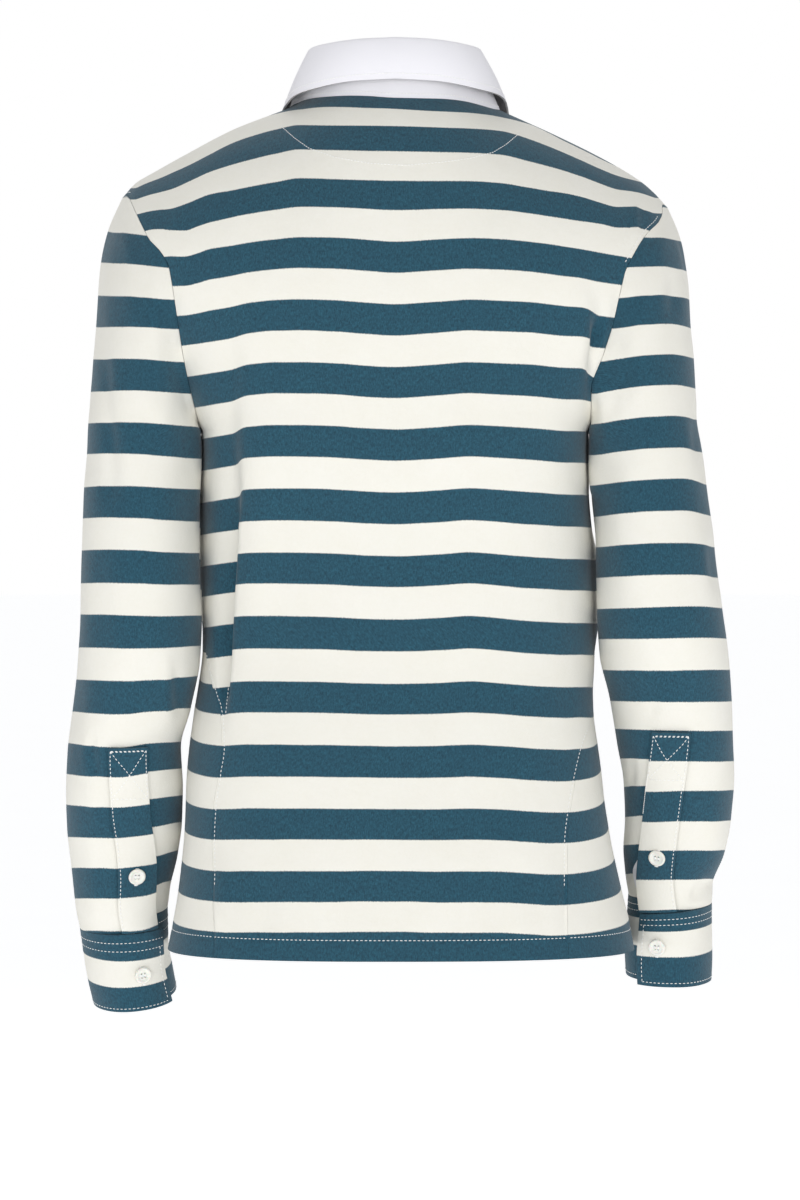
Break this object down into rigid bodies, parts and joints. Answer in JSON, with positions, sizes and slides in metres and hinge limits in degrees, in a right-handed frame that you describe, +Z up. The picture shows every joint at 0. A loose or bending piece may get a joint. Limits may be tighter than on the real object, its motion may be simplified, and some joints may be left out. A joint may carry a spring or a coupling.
{
  "type": "rugby shirt",
  "caption": "Long-sleeved rugby shirt in broad stripes, worn, with a turned-down twill collar, a buttoned front placket, buttoned sleeve plackets and banded cuffs.",
  "frame": {"origin": "the middle of the neck opening, level with the back neck seam", "axes": "+Z up, -Y out of the wearer's front, +X towards the wearer's left"},
  "size_m": [0.5487, 0.2342, 0.7941],
  "materials": {
    "jersey": "heavy cotton jersey in broad navy and cream stripes",
    "twill": "smooth white cotton twill",
    "button": "satin off-white"
  },
  "bodies": {
    "root": {"back_panel": "jersey", "front_panel": "jersey", "left_sleeve": "jersey", "right_sleeve": "jersey", "left_cuff": "jersey", "right_cuff": "jersey", "left_sleeve_placket": "jersey", "right_sleeve_placket": "jersey", "left_underlap": "twill", "right_underlap": "twill", "collar_stand": "twill", "collar_fall": "twill", "front_placket": "twill", "front_button_1": "button", "front_button_2": "button", "front_button_3": "button", "left_sleeve_button": "button", "right_sleeve_button": "button", "left_cuff_button": "button", "right_cuff_button": "button"}
  },
  "joints": []
}
